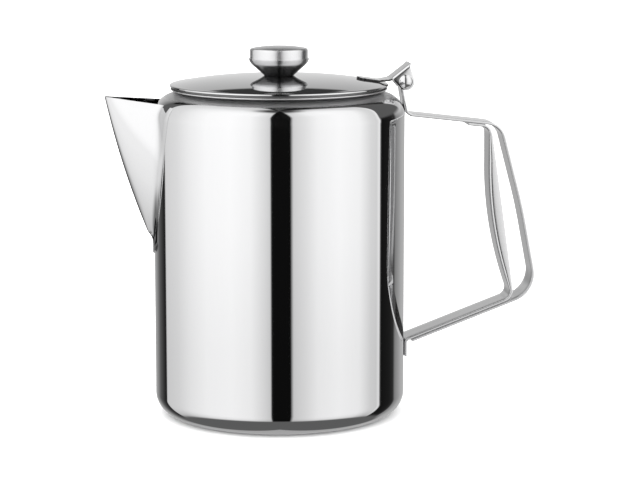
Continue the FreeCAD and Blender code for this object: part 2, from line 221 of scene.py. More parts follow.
# Room behind the panels: its fade as (height, level), and the dark corners beside the panels
BACK_FADE = (
    (-90, 0.8), (-6, 0.8), (0, 1.14), (5, 1.04), (11, 0.91), (17, 0.8), (20.6, 0.74), (21.4, 0.065),
    (30, 0.07), (40, 0.12), (60, 0.2), (90, 0.22),
)
STRAIGHT_BACK = 164.0
SIDE_LIFT = 6.0
CORNER = 0.13
CORNER_LOW = 9.0
CORNER_BACK = 150.0

# Ground that the steel mirrors: its top, and its levels in front and from GROUND_TURN on behind
GROUND_TOP = -38.0
GROUND_TURN = 152.0
GROUND_FRONT = 0.145
GROUND_BACK = 0.5

# Level that all but mirrored rays see, and the strength of every level
ROOM = 2.2
LIGHT = 1.25


# ---------- outlines ----------

def arc(centre, radius, start, end, steps=10):
    """Points along an arc, in degrees, both ends included."""
    turns = [math.radians(start + (end - start) * i / steps) for i in range(steps + 1)]
    return [(centre[0] + radius * math.cos(t), centre[1] + radius * math.sin(t)) for t in turns]


def line(start, end, steps):
    """Points between two ends, both left out, closer together at the ends."""
    shares = [0.5 - 0.5 * math.cos(math.pi * i / steps) for i in range(1, steps)]
    return [(start[0] + (end[0] - start[0]) * k, start[1] + (end[1] - start[1]) * k) for k in shares]


def joined(*runs):
    """One outline from several runs, with straight stretches between them filled in."""
    points = []
    for run in runs:
        if points:
            gap = math.dist(points[-1], run[0])
            if gap > 2.0:
                points += line(points[-1], run[0], max(4, int(gap / 4)))
        points += run
    return points


def circle_through(a, b, c):
    """Centre and radius of the circle through three points."""
    d = 2 * (a[0] * (b[1] - c[1]) + b[0] * (c[1] - a[1]) + c[0] * (a[1] - b[1]))
    sa, sb, sc = (p[0] ** 2 + p[1] ** 2 for p in (a, b, c))
    x = (sa * (b[1] - c[1]) + sb * (c[1] - a[1]) + sc * (a[1] - b[1])) / d
    y = (sa * (c[0] - b[0]) + sb * (a[0] - c[0]) + sc * (b[0] - a[0])) / d
    return (x, y), math.dist((x, y), a)


def smooth_step(low, high, value):
    """0 below the low value and 1 above the high one, with a smooth change between them."""
    share = min(1.0, max(0.0, (value - low) / (high - low)))
    return share * share * (3 - 2 * share)


# ---------- meshes ----------

def finish_mesh(name, verts, faces, sharp=40.0):
    """Mesh object from points in millimetres, smooth except at edges over the sharp angle."""
    mesh = bpy.data.meshes.new(name)
    mesh.from_pydata([tuple(c * MM for c in v) for v in verts], [], faces)
    merge = MM * 0.002
    bm = bmesh.new()
    bm.from_mesh(mesh)
    bmesh.ops.remove_doubles(bm, verts=bm.verts, dist=merge)
    bmesh.ops.dissolve_degenerate(bm, edges=bm.edges, dist=merge)
    bmesh.ops.recalc_face_normals(bm, faces=bm.faces)
    bm.to_mesh(mesh)
    bm.free()
    mesh.shade_smooth()
    mesh.set_sharp_from_angle(angle=math.radians(sharp))
    thing = bpy.data.objects.new(name, mesh)
    bpy.context.scene.collection.objects.link(thing)
    return thing


def lathe(name, outline, segments=256, sharp=40.0):
    """Closed outline of (r, z) points turned round the Z axis."""
    verts = []
    faces = []
    count = len(outline)
    for i in range(segments):
        turn = 2 * math.pi * i / segments
        verts += [(r * math.cos(turn), r * math.sin(turn), z) for r, z in outline]
    for i in range(segments):
        here = i * count
        there = ((i + 1) % segments) * count
        for j in range(count):
            k = (j + 1) % count
            if outline[j][0] == 0 and outline[k][0] == 0:
                continue
            faces.append((here + j, there + j, there + k, here + k))
    return finish_mesh(name, verts, faces, sharp)


def path_points(corners, radii, step=2.5, turn_step=5.0):
    """Stations (x, z, heading, distance) along straight runs joined by arcs."""
    stations = []
    start = Vector(corners[0])
    for before, corner, after, radius in zip(corners, corners[1:], corners[2:], radii):
        here = Vector(corner)
        into = (here - Vector(before)).normalized()
        out = (Vector(after) - here).normalized()
        turn = math.atan2(into.x * out.y - into.y * out.x, into.dot(out))
        reach = radius * math.tan(abs(turn) / 2)
        first = here - into * reach
        heading = math.atan2(into.y, into.x)
        add_run(stations, start, first, heading, step)
        side = 1 if turn > 0 else -1
        centre = first + Vector((-into.y, into.x)) * radius * side
        count = max(4, int(abs(math.degrees(turn)) / turn_step), int(abs(turn) * radius / step))
        for i in range(1, count):
            now = heading + turn * i / count
            spot = centre + Vector((math.sin(now), -math.cos(now))) * radius * side
            stations.append((spot.x, spot.y, now))
        start = here + out * reach
        stations.append((start.x, start.y, heading + turn))
    end = Vector(corners[-1])
    add_run(stations, start, end, math.atan2(end.y - start.y, end.x - start.x), step)
    return with_distance(stations)


def add_run(stations, start, end, heading, step):
    """Adds the stations of a straight run, leaving out a start that is already there."""
    gap = (end - start).length
    count = max(2, int(gap / step))
    for i in range(count + 1):
        share = 0.5 - 0.5 * math.cos(math.pi * i / count)
        spot = start.lerp(end, share)
        if stations and math.dist(stations[-1][:2], spot) < 0.01:
            continue
        stations.append((spot.x, spot.y, heading))


def with_distance(stations):
    """Adds to each station how far along the path it is."""
    run = 0.0
    result = []
    previous = stations[0]
    for station in stations:
        run += math.dist(previous[:2], station[:2])
        result.append((*station, run))
        previous = station
    return result


def half_section(half, thickness, depth, edge):
    """Right half of a strip's section: (y, n) from the middle of the front to the middle of the back.

    The edge turns back past the strip's back face by depth, which may be nothing.
    """
    fold = min(1.0, depth / 2.0)
    front = edge + (min(1.3, half * 0.3) - edge) * fold
    tip = min(edge, half * 0.45)
    inner = min(tip, depth / 2)
    wall = thickness if depth > 0 else min(thickness, half * 0.9)
    hollow = min(0.8, depth / 2)
    back = thickness + depth
    points = [(0.0, 0.0), (half * 0.5, 0.0)]
    points += arc((half - front, front), front, -90, 0, 6)
    points += arc((half - tip, back - tip), tip, 0, 90, 4)
    points += arc((half - wall + inner, back - inner), inner, 90, 180, 4)
    points += arc((half - wall - hollow, thickness + hollow), hollow, 0, -90, 4)
    points += [((half - wall) * 0.45, thickness), (0.0, thickness)]
    return points


def folded_strip(name, stations, thickness, half_at, depth_at=None, edge=0.45, flip=1, sharp=50.0):
    """Bent strip with rounded edges; its edges may turn back to the side that flip names."""
    verts = []
    faces = []
    rows = []
    for x, z, heading, run in stations:
        depth = depth_at(x, z, run) if depth_at else 0.0
        right = half_section(half_at(x, z, run), thickness, depth, edge)
        ring = right + [(-y, n) for y, n in reversed(right[1:-1])]
        normal = (-math.sin(heading) * flip, math.cos(heading) * flip)
        row = []
        for y, n in ring:
            out = n - thickness / 2
            row.append(len(verts))
            verts.append((x + normal[0] * out, y, z + normal[1] * out))
        rows.append(row)
    count = len(rows[0])
    for row, after in zip(rows, rows[1:]):
        for j in range(count):
            k = (j + 1) % count
            faces.append((row[j], row[k], after[k], after[j]))
    for row in (rows[0], rows[-1]):
        for j in range(count // 2):
            mirror_j = (count - j) % count
            mirror_k = (count - j - 1) % count
            faces.append((row[j], row[j + 1], row[mirror_k], row[mirror_j]))
    return finish_mesh(name, verts, faces, sharp)


def sheet_from_grid(name, grid, thickness):
    """Closed sheet: the grid is its outer face and a copy set inwards is its inner face."""
    rows = len(grid)
    columns = len(grid[0])
    outer = [list(p) for row in grid for p in row]
    inner = []
    for j in range(rows):
        for i in range(columns):
            left, right = grid[j][max(i - 1, 0)], grid[j][min(i + 1, columns - 1)]
            low, high = grid[max(j - 1, 0)][i], grid[min(j + 1, rows - 1)][i]
            normal = (right - left).cross(high - low)
            if normal.length < 1e-6:
                normal = Vector((-1, 0, 0))
            normal.normalize()
            if normal.x > 0:
                normal = -normal
            inner.append(list(grid[j][i] - normal * thickness))
    faces = []
    base = rows * columns
    for j in range(rows - 1):
        for i in range(columns - 1):
            a = j * columns + i
            quad = (a, a + 1, a + columns + 1, a + columns)
            faces.append(quad)
            faces.append(tuple(base + v for v in reversed(quad)))
    border = list(range(columns))
    border += [j * columns + columns - 1 for j in range(1, rows)]
    border += [(rows - 1) * columns + i for i in range(columns - 2, -1, -1)]
    border += [j * columns for j in range(rows - 2, 0, -1)]
    for a, b in zip(border, border[1:] + border[:1]):
        faces.append((b, a, base + a, base + b))
    return finish_mesh(name, outer + inner, faces, 35.0)


# ---------- the vessel ----------

def shoulder_slope_z(r):
    """Height of the straight slope between the shoulder's arc and the neck."""
    turn = math.radians(SHOULDER_TURN)
    end_r = BODY_R - SHOULDER_ROUND + SHOULDER_ROUND * math.cos(turn)
    end_z = WALL_TOP + SHOULDER_ROUND * math.sin(turn)
    return end_z + (end_r - r) / math.tan(turn)


def make_body():
    """Vessel of one sheet: rounded base, wall, shoulder and an upstand round the mouth."""
    neck_in = NECK_R - BODY_WALL
    base = (BODY_R - BASE_ROUND, BASE_ROUND)
    shoulder = (BODY_R - SHOULDER_ROUND, WALL_TOP)
    lip = BODY_WALL / 2
    slope_foot = (NECK_R + NECK_ROOT_R, shoulder_slope_z(NECK_R + NECK_ROOT_R))
    inner_foot = (neck_in + NECK_ROOT_R, slope_foot[1] - BODY_WALL)
    outline = joined(
        [(0.0, 0.0)],
        arc(base, BASE_ROUND, -90, 0, 28),
        arc(shoulder, SHOULDER_ROUND, 0, SHOULDER_TURN, 28),
        [slope_foot],
        arc((slope_foot[0], slope_foot[1] + NECK_ROOT_R), NECK_ROOT_R, 180 + SHOULDER_TURN, 180, 5),
        arc((NECK_R - lip, NECK_TOP - lip), lip, 0, 180, 8),
        [(neck_in, inner_foot[1] + lip), inner_foot],
        arc(shoulder, SHOULDER_ROUND - BODY_WALL, SHOULDER_TURN, 0, 16),
        arc(base, BASE_ROUND - BODY_WALL, 0, -90, 16),
        [(0.0, BODY_WALL)],
    )
    body = lathe("vessel", outline)
    cut_window(body)
    return body


def cut_window(body):
    """Opening in the vessel's wall behind the spout."""
    (top_half, top_z), (low_half, low_z) = WINDOW_TOP, WINDOW_LOW
    corners = [(-top_half, top_z), (top_half, top_z), (low_half, low_z), (-low_half, low_z)]
    verts = [(-x, y, z) for x in WINDOW_REACH for y, z in corners]
    faces = [(0, 1, 2, 3), (7, 6, 5, 4), (0, 4, 5, 1), (1, 5, 6, 2), (2, 6, 7, 3), (3, 7, 4, 0)]
    cutter = finish_mesh("window_cutter", verts, faces)
    cut = body.modifiers.new("window", "BOOLEAN")
    cut.operation = "DIFFERENCE"
    cut.solver = "EXACT"
    cut.object = cutter
    apply_modifiers(body)
    bpy.data.objects.remove(cutter)


def apply_modifiers(thing):
    """Keeps the modified mesh in place of the plain one."""
    graph = bpy.context.evaluated_depsgraph_get()
    made = bpy.data.meshes.new_from_object(thing.evaluated_get(graph))
    thing.modifiers.clear()
    thing.data = made


# ---------- the spout ----------

def crease_at(z):
    """Distance of the spout's front line from the axis."""
    centre, radius = circle_through(*SPOUT_ARC)
    rise = z - centre[1]
    reach = centre[0] + math.copysign(math.sqrt(radius ** 2 - rise ** 2), SPOUT_ARC[1][0] - centre[0])
    return BODY_R + (reach - BODY_R) * smooth_step(*SPOUT_START_Z, z)


def vessel_r(z):
    """Outer radius of the vessel's wall and shoulder."""
    rise = min(max(z - WALL_TOP, 0.0), SHOULDER_ROUND * 0.9)
    return BODY_R - SHOULDER_ROUND + math.sqrt(SHOULDER_ROUND ** 2 - rise ** 2)


def saddle_spread(z):
    """Half angle that the saddle covers at a height, with a round lower end."""
    share = (min(z, SADDLE_TOP_Z) - SADDLE_LOW_Z) / (SADDLE_TOP_Z - SADDLE_LOW_Z)
    if share >= 0:
        return SADDLE_LOW_ANGLE + share * (SADDLE_TOP_ANGLE - SADDLE_LOW_ANGLE)
    drop = (SADDLE_LOW_Z - z) / (SADDLE_LOW_Z - SADDLE_END_Z)
    return SADDLE_LOW_ANGLE * math.sqrt(max(0.0, 1 - drop ** 2))


def blend_max(a, b, soft):
    """The larger of two distances, with a rounded change-over."""
    mix = max(soft - abs(a - b), 0.0) / soft
    return max(a, b) + mix * mix * soft / 4


def root_angle(z):
    """Angle from the mid plane at which the spout's sides meet the wall, on a curve through SPOUT_ROOTS."""
    total = 0.0
    for here, angle in SPOUT_ROOTS:
        weight = 1.0
        for other, _ in SPOUT_ROOTS:
            if other != here:
                weight *= (z - other) / (here - other)
        total += weight * angle
    return math.radians(max(1.0, total))


def spout_r(turn, z):
    """Outer face of the spout as a distance from the axis, for an angle from its mid plane."""
    reach = crease_at(z)
    root = root_angle(z)
    slant = math.atan2(BODY_R * math.sin(root), reach - BODY_R * math.cos(root))
    soft_turn = math.sqrt(turn ** 2 + SPOUT_NOSE ** 2)
    side = reach * math.sin(slant + SPOUT_NOSE) / math.sin(soft_turn + slant)
    edge = BODY_R * (saddle_spread(z) - abs(turn))
    proud = SADDLE_EDGE_PROUD + (SADDLE_PROUD - SADDLE_EDGE_PROUD) * smooth_step(0.0, SADDLE_BLEND, edge)
    return blend_max(side, vessel_r(z) + proud, SPOUT_BLEND)


def pouring_edge(reach):
    """Height of the spout's open edge at a distance from the axis along the mid plane."""
    slope = (SPOUT_TIP[1] - SPOUT_ROOT[1]) / (SPOUT_TIP[0] - SPOUT_ROOT[0])
    return SPOUT_ROOT[1] + slope * (reach - SPOUT_ROOT[0])


def spout_point(across, up):
    """Point on the outer face, for a share across (-1 to 1) and a share of the height (0 to 1)."""
    shaped = across * (0.35 + 0.65 * abs(across))
    top = SADDLE_TOP_Z
    for _ in range(6):
        turn = shaped * SADDLE_TOP_ANGLE
        top = pouring_edge(spout_r(turn, top) * math.cos(turn))
    low = SADDLE_END_Z + 0.02
    z = low + (top - low) * up
    turn = shaped * saddle_spread(z)
    r = spout_r(turn, z)
    return Vector((-r * math.cos(turn), -r * math.sin(turn), z))


def make_spout():
    """Folded spout and its saddle as one sheet, with rows closer together at the saddle's round end."""
    columns = 96
    rows = 120
    grid = []
    for j in range(rows + 1):
        up = (j / rows) ** 1.3
        grid.append([spout_point(-1 + 2 * i / columns, up) for i in range(columns + 1)])
    return sheet_from_grid("spout_sheet", grid, SPOUT_WALL)


# ---------- the handle ----------

def arm_z(x, layer=0.0):
    """Middle line of the upper arm; layer counts strips downwards."""
    return ARM_REF[1] + ARM_SLOPE * (x - ARM_REF[0]) - layer * STRIP_T * math.hypot(1, ARM_SLOPE)


def low_z(x, layer=0.0):
    """Middle line of the lower arm; layer counts strips upwards."""
    return LOW_REF[1] + LOW_SLOPE * (x - LOW_REF[0]) + layer * STRIP_T * math.hypot(1, LOW_SLOPE)


def pin_curl(foot):
    """Stations round the pin, up to where the curl leaves towards the foot of the knuckle."""
    pin = Vector((PIN_X, PIN_Z))
    away = foot - pin
    lean = math.acos(CURL_R / away.length)
    last = math.degrees(math.atan2(away.y, away.x) - lean)
    steps = CURL_TURN // 10
    turns = [last - CURL_TURN + 10 * i for i in range(steps + 1)]
    spots = arc(pin, CURL_R, last - CURL_TURN, last, steps)
    return [(x, z, math.radians(turn) + math.pi / 2) for turn, (x, z) in zip(turns, spots)]


def make_outer_strip():
    """Strip from the curl round the pin, over the arm and leg, to its end under the lower arm."""
    foot = Vector((WEB_X, arm_z(WEB_X)))
    curl = pin_curl(foot)
    corners = [curl[-1][:2], tuple(foot), (OUTER_CORNER_X, arm_z(OUTER_CORNER_X)), OUTER_KNEE,
               (OUTER_HEEL_X, low_z(OUTER_HEEL_X)), (OUTER_END_X, low_z(OUTER_END_X))]
    rest = path_points(corners, OUTER_BENDS)
    stations = with_distance(curl[:-1] + [station[:3] for station in rest])

    def half_at(x, z, run):
        """Half width, which narrows at the knuckle."""
        return STRIP_W / 2 + (KNUCKLE_W - STRIP_W) / 2 * smooth_step(*KNUCKLE_Z, z)

    return folded_strip("outer_strip", stations, STRIP_T, half_at)


def make_inner_strip():
    """Strip under the upper arm, down the grip with turned-back edges, and along to the foot."""
    knee_z = INNER_BEND_Z - INNER_BEND_R * math.tan(INNER_BEND / 2)
    slope = math.tan(INNER_BEND)
    heel_z = (low_z(INNER_LEG_X, 1) + LOW_SLOPE * slope * knee_z) / (1 + LOW_SLOPE * slope)
    heel_x = INNER_LEG_X + slope * (knee_z - heel_z)
    corners = [(INNER_START_X, arm_z(INNER_START_X, 1)), (INNER_LEG_X, arm_z(INNER_LEG_X, 1)),
               (INNER_LEG_X, knee_z), (heel_x, heel_z), (WEB_X, low_z(WEB_X, 1)), (WEB_X, FOOT_END_Z)]
    stations = path_points(corners, (INNER_CORNER_R, INNER_BEND_R, INNER_CORNER_R, INNER_FOOT_R), 1.5)
    lean = (GRIP_END[0] - GRIP_TOP[0]) / (GRIP_TOP[1] - GRIP_END[1])

    def depth_at(x, z, run):
        """How far the edges turn back, to a straight line down the grip."""
        if not GRIP_END[1] < z < GRIP_TOP[1] or x < INNER_LEG_X - 1:
            return 0.0
        chord = GRIP_TOP[0] + lean * (GRIP_TOP[1] - z)
        return max(0.0, chord - x - STRIP_T / 2)

    return folded_strip("inner_strip", stations, STRIP_T, lambda x, z, run: STRIP_W / 2, depth_at)


# ---------- the hinge ----------

def make_pin():
    """Rivet along Y with a domed head at each end."""
    ball = (PIN_HEAD_R ** 2 + PIN_HEAD_H ** 2) / (2 * PIN_HEAD_H)
    face = LEAF_W / 2 + HEAD_GAP
    span = math.degrees(math.asin(PIN_HEAD_R / ball))
    dome = arc((0.0, face + PIN_HEAD_H - ball), ball, 90 - span + 3, 90, 12)
    rim = [(PIN_R, face), (PIN_HEAD_R - PIN_RIM, face), (PIN_HEAD_R, face + PIN_RIM * 0.6)]
    side = rim + dome[:-1] + [(0.0, dome[-1][1])]
    mirrored = [(r, -z) for r, z in reversed(side)]
    pin = lathe("pin", mirrored + side, 64, 45.0)
    place = Matrix.Translation((PIN_X * MM, 0, PIN_Z * MM))
    pin.data.transform(place @ Matrix.Rotation(math.radians(90), 4, "X"))
    return pin


def dome_z(r):
    """Height of the lid's upper face at a radius."""
    return LID_TOP - (LID_TOP - LID_EDGE) * (r / LID_R) ** LID_BEND


def make_leaf():
    """Strap on the lid that rises to the thumb plate, with an ear turned down at each side."""
    lift = LEAF_T / 2 + LEAF_LIFT
    corners = [(LEAF_START_X, dome_z(LEAF_START_X) + lift), (LEAF_BEND_X, dome_z(LEAF_BEND_X) + lift),
               LEAF_ROOT, LEAF_TIP]
    stations = path_points(corners, (3.0, 2.5), 0.35)
    end_run = stations[-1][3]
    root = Vector(LEAF_ROOT)
    plate = Vector(LEAF_TIP) - root
    along = plate.normalized()
    pin = Vector((PIN_X, PIN_Z)) - root
    below = pin.dot(Vector((along.y, -along.x)))
    pin_run = pin.dot(along)

    def half_at(x, z, run):
        """Half width: a round nose on the lid, wider at the thumb plate, with softened last corners."""
        widened = STRAP_W / 2 + (LEAF_W - STRAP_W) / 2 * smooth_step(*LEAF_WIDEN_X, x)
        nose = min(1.0, run / LEAF_NOSE)
        tail = min(1.0, (end_run - run) / LEAF_TAIL)
        rounded = math.sqrt(1 - (1 - nose) ** 2) * (0.9 + 0.1 * math.sqrt(1 - (1 - tail) ** 2))
        return max(1.2, widened * rounded)

    def ear_depth(s):
        """How far the ear hangs below the plate's middle line: round the pin, with straight flanks."""
        offset = s - pin_run
        depth = below + math.sqrt(EAR_R ** 2 - offset ** 2) if abs(offset) < EAR_R else 0.0
        for corner in (EAR_INSET, plate.length - EAR_INSET):
            reach = abs(corner - pin_run)
            swing = math.atan2(below, reach) + math.asin(EAR_R / math.hypot(reach, below))
            side = s - corner if corner < pin_run else corner - s
            if 0 <= side <= reach - EAR_R * math.sin(swing):
                depth = max(depth, side * math.tan(swing))
        return depth

    def depth_at(x, z, run):
        """Depth of the ears below the plate's underside, nothing on the lid."""
        if x < LEAF_ROOT[0] - 0.5:
            return 0.0
        s = (Vector((x, z)) - root).dot(along)
        return max(0.0, ear_depth(s) - LEAF_T / 2)

    return folded_strip("leaf", stations, LEAF_T, half_at, depth_at, 0.3, -1)


# ---------- the lid and its knob ----------

def make_lid():
    """Domed cover with a rolled edge."""
    steps = 44
    rim = LID_R - ROLL_R
    top = [(rim * i / steps, dome_z(rim * i / steps)) for i in range(steps + 1)]
    slope = math.degrees(math.atan(LID_BEND * (LID_TOP - LID_EDGE) / LID_R))
    centre = (rim, ROLL_LOW + ROLL_R)
    inner_r = LID_R - 2 * ROLL_R
    under = [(r, z - LID_WALL) for r, z in reversed(top) if r < inner_r - 0.4]
    outline = joined(
        top[:-1],
        arc(centre, ROLL_R, 90 - slope, -90, 12),
        [(inner_r, ROLL_LOW), (inner_r, dome_z(inner_r) - LID_WALL - 0.1)],
        under,
    )
    return lathe("lid_dome", outline)


def make_pan():
    """Pan under the lid: a collar inside the rolled edge, a beaded flange and a wall into the neck."""
    wall = SKIRT_R - PAN_WALL
    flange = NECK_TOP + PAN_LIFT
    collar = (PAN_COLLAR_R, ROLL_LOW + 0.3)
    collar_in = PAN_COLLAR_R - 0.4
    outline = joined(
        arc((SKIRT_R + 0.4, flange - 0.4), 0.4, 180, 90, 4),
        arc((PAN_R - PAN_BEAD_R, flange + PAN_BEAD_R), PAN_BEAD_R, -90, 90, 10),
        [(PAN_COLLAR_R, flange + 2 * PAN_BEAD_R), collar, (collar_in, collar[1])],
        [(collar_in, flange + PAN_WALL)],
        arc((wall + 1.0, flange + PAN_WALL - 1.0), 1.0, 90, 180, 5),
        arc((SKIRT_R - PAN_WALL / 2, SKIRT_LOW + PAN_WALL / 2), PAN_WALL / 2, 180, 360, 8),
    )
    return lathe("lid_pan", outline)


def make_knob_cup():
    """Lower shell of the knob, from its foot on the lid out to the seam."""
    foot = LID_TOP + 0.05
    turn_in = 0.3
    outline = joined(
        [(BOSS_HOLE_R, foot), (KNOB_FOOT_R - turn_in, foot)],
        arc((KNOB_FOOT_R - turn_in, foot + turn_in), turn_in, -90, -40, 3),
        arc(*KNOB_WAIST, -46, -8, 10),
        [(KNOB_R - 0.1, KNOB_SEAM), (KNOB_R - KNOB_WALL, KNOB_SEAM), (12.4, 177.4),
         (KNOB_FOOT_R - 0.5, foot + KNOB_WALL), (BOSS_HOLE_R, foot + KNOB_WALL)],
    )
    return lathe("knob_lower", outline, 160)


def make_knob_cap():
    """Upper shell of the knob: a low crown, an upright side and a bead at the seam."""
    steps = 16
    corner_r = 1.0
    edge = KNOB_R - corner_r
    crown = [(edge * i / steps, KNOB_TOP - KNOB_CROWN * (i / steps) ** 2.4) for i in range(steps + 1)]
    inner = KNOB_R - KNOB_WALL
    outline = joined(
        crown,
        arc((edge, crown[-1][1] - corner_r), corner_r, 72, 0, 8),
        [(KNOB_R, KNOB_SEAM + 2.5 * KNOB_BEAD_R)],
        arc((KNOB_R - 0.05, KNOB_SEAM + KNOB_BEAD_R), KNOB_BEAD_R, 80, -90, 8),
        [(inner, KNOB_SEAM), (inner, KNOB_SHOULDER - 1.2), (0.0, KNOB_TOP - 1.6)],
    )
    return lathe("knob_upper", outline, 160)


# ---------- node helpers ----------

def combine(tree, operation, *values, clamp=False):
    """Result of a Math node on values that are each a number or a socket."""
    node = tree.nodes.new("ShaderNodeMath")
    node.operation = operation
    node.use_clamp = clamp
    for socket, value in zip(node.inputs, values):
        if isinstance(value, (int, float)):
            socket.default_value = value
        else:
            tree.links.new(value, socket)
    return node.outputs["Value"]


def map_range(tree, value, low, high, first=0.0, second=1.0, smooth=False):
    """Value that goes from first to second as the given one goes from low to high."""
    node = tree.nodes.new("ShaderNodeMapRange")
    node.interpolation_type = "SMOOTHSTEP" if smooth else "LINEAR"
    for name, number in (("From Min", low), ("From Max", high), ("To Min", first), ("To Max", second)):
        node.inputs[name].default_value = number
    tree.links.new(value, node.inputs["Value"])
    return node.outputs["Result"]


def graded(tree, value, stops, unit=1.0, top=1.0):
    """Level read from (position, level) stops; unit is a position's size and top the highest level."""
    low, high = stops[0][0], stops[-1][0]
    ramp = tree.nodes.new("ShaderNodeValToRGB")
    elements = ramp.color_ramp.elements
    while len(elements) < len(stops):
        elements.new(0.5)
    for element, (position, level) in zip(elements, stops):
        element.position = (position - low) / (high - low)
        element.color = (level / top,) * 3 + (1,)
    tree.links.new(map_range(tree, value, low * unit, high * unit), ramp.inputs["Fac"])
    return combine(tree, "MULTIPLY", ramp.outputs["Color"], top)


def split_xyz(tree, output):
    """Separate X, Y and Z of a texture coordinate output."""
    node = tree.nodes.new("ShaderNodeSeparateXYZ")
    tree.links.new(tree.nodes.new("ShaderNodeTexCoord").outputs[output], node.inputs["Vector"])
    return node.outputs


def noise(tree, scale, detail, stretch=(1, 1, 1)):
    """Noise over the object's own coordinates, which may be stretched along an axis."""
    mapping = tree.nodes.new("ShaderNodeMapping")
    mapping.inputs["Scale"].default_value = stretch
    texture = tree.nodes.new("ShaderNodeTexNoise")
    texture.inputs["Scale"].default_value = scale
    texture.inputs["Detail"].default_value = detail
    tree.links.new(tree.nodes.new("ShaderNodeTexCoord").outputs["Object"], mapping.inputs["Vector"])
    tree.links.new(mapping.outputs["Vector"], texture.inputs["Vector"])
    return texture.outputs["Fac"]


def bump(tree, height, distance):
    """Bump node of a given depth."""
    node = tree.nodes.new("ShaderNodeBump")
    node.inputs["Strength"].default_value = 1.0
    node.inputs["Distance"].default_value = distance
    tree.links.new(height, node.inputs["Height"])
    return node


# ---------- steels ----------

def steel(name, tint, rough, spread, grain, line_shade=0.99):
    """Metal with cloudy roughness, fine drawing lines along one axis and a slightly uneven sheet."""
    material = bpy.data.materials.new(name)
    material.use_nodes = True
    tree = material.node_tree
    shader = tree.nodes["Principled BSDF"]
    shader.inputs["Metallic"].default_value = 1.0
    line_axis, line_depth, wave_depth = grain
    clouds = noise(tree, CLOUD_SCALE, 4.0)
    lines = noise(tree, LINE_SCALE, 2.0, tuple(LINE_STRETCH if axis == line_axis else 1.0 for axis in "XYZ"))
    waves = noise(tree, WAVE_SCALE, 1.0)
    roughness = map_range(tree, clouds, 0.3, 0.7, rough - spread, rough + spread)
    tree.links.new(roughness, shader.inputs["Roughness"])

    colour = tree.nodes.new("ShaderNodeMix")
    colour.data_type = "RGBA"
    colour.inputs["A"].default_value = (*[c * line_shade for c in tint], 1)
    colour.inputs["B"].default_value = (*tint, 1)
    tree.links.new(map_range(tree, lines, 0.3, 0.7), colour.inputs["Factor"])
    tree.links.new(colour.outputs["Result"], shader.inputs["Base Color"])

    bump_waves = bump(tree, waves, wave_depth)
    bump_lines = bump(tree, lines, line_depth)
    tree.links.new(bump_waves.outputs["Normal"], bump_lines.inputs["Normal"])
    tree.links.new(bump_lines.outputs["Normal"], shader.inputs["Normal"])
    return material


def scale_colour(material, share):
    """Multiplies a steel's base colour by a share, which is a socket of its own node tree."""
    tree = material.node_tree
    shader = tree.nodes["Principled BSDF"]
    colour = shader.inputs["Base Color"].links[0].from_socket
    scaled = tree.nodes.new("ShaderNodeVectorMath")
    scaled.operation = "SCALE"
    tree.links.new(colour, scaled.inputs[0])
    tree.links.new(share, scaled.inputs["Scale"])
    tree.links.new(scaled.outputs["Vector"], shader.inputs["Base Color"])


def paint_shade_by_height(material, stops):
    """Paints shade into the metal's colour by height; the stops are (height, share of the colour kept)."""
    tree = material.node_tree
    scale_colour(material, graded(tree, split_xyz(tree, "Object")["Z"], stops, MM))


def roughen(material, heights, extra):
    """Adds to the roughness above the first height, in full from the second one."""
    tree = material.node_tree
    shader = tree.nodes["Principled BSDF"]
    rough = shader.inputs["Roughness"].links[0].from_socket
    low, high = heights
    more = map_range(tree, split_xyz(tree, "Object")["Z"], low * MM, high * MM, 0.0, extra, smooth=True)
    tree.links.new(combine(tree, "ADD", rough, more), shader.inputs["Roughness"])


def paint_inside_shade(material, kept):
    """Paints shade on faces that look towards the mid plane, such as the inside of the spout."""
    tree = material.node_tree
    towards = combine(tree, "MULTIPLY", split_xyz(tree, "Normal")["Y"], split_xyz(tree, "Object")["Y"])
    scale_colour(material, map_range(tree, towards, -0.4 * MM, -0.1 * MM, kept, 1.0, smooth=True))


def paint_front_shade(material):
    """Paints shade on what faces away from the handle: the spout's front line and the saddle's lower end."""
    tree = material.node_tree
    place = split_xyz(tree, "Object")
    front = map_range(tree, split_xyz(tree, "Normal")["X"], -0.88, -0.73, 1.0, 0.0, smooth=True)
    low = map_range(tree, place["Z"], 110 * MM, 122 * MM, 0.8, 0.12, smooth=True)
    ahead = map_range(tree, place["X"], -67 * MM, -65.5 * MM, 0.85, 0.0, smooth=True)
    lost = combine(tree, "MULTIPLY", front, combine(tree, "MAXIMUM", low, ahead))
    scale_colour(material, combine(tree, "SUBTRACT", 1.0, lost))


def paint_edge_shade(material, along, kept):
    """Paints shade on the sheet's cut edges, which do not look up, on the side of the lid's axis."""
    tree = material.node_tree
    upright = map_range(tree, split_xyz(tree, "Normal")["Z"], 0.35, 0.75, kept, 1.0, smooth=True)
    start, end = along
    beyond = map_range(tree, split_xyz(tree, "Object")["X"], start * MM, end * MM, smooth=True)
    scale_colour(material, combine(tree, "MAXIMUM", upright, beyond))


def vessel_steel():
    """Polished sheet, rougher at the top of the shoulder, with painted shade darkening the neck under the
    lid.
    """
    material = steel("vessel_steel", BRIGHT, 0.035, 0.01, POLISHED)
    paint_shade_by_height(material, NECK_SHADE)
    roughen(material, ROUGH_SHOULDER_Z, ROUGH_SHOULDER)
    return material


def spout_steel():
    """Polished sheet, with painted shade inside and along the front line."""
    material = steel("spout_steel", BRIGHT, 0.04, 0.01, POLISHED)
    paint_inside_shade(material, SPOUT_INSIDE_KEPT)
    paint_front_shade(material)
    return material


def lid_steel():
    """Polished sheet, with painted shade under the rolled edge."""
    material = steel("lid_steel", BRIGHT, 0.035, 0.01, POLISHED)
    paint_shade_by_height(material, ROLL_SHADE)
    return material


def pan_steel():
    """Plain pressed sheet, with painted shade between the flange's bead and the lid's edge and lighter
    painted shade below the bead.
    """
    material = steel("pan_steel", BRIGHT, 0.42, 0.05, PRESSED)
    paint_shade_by_height(material, PAN_SHADE)
    return material


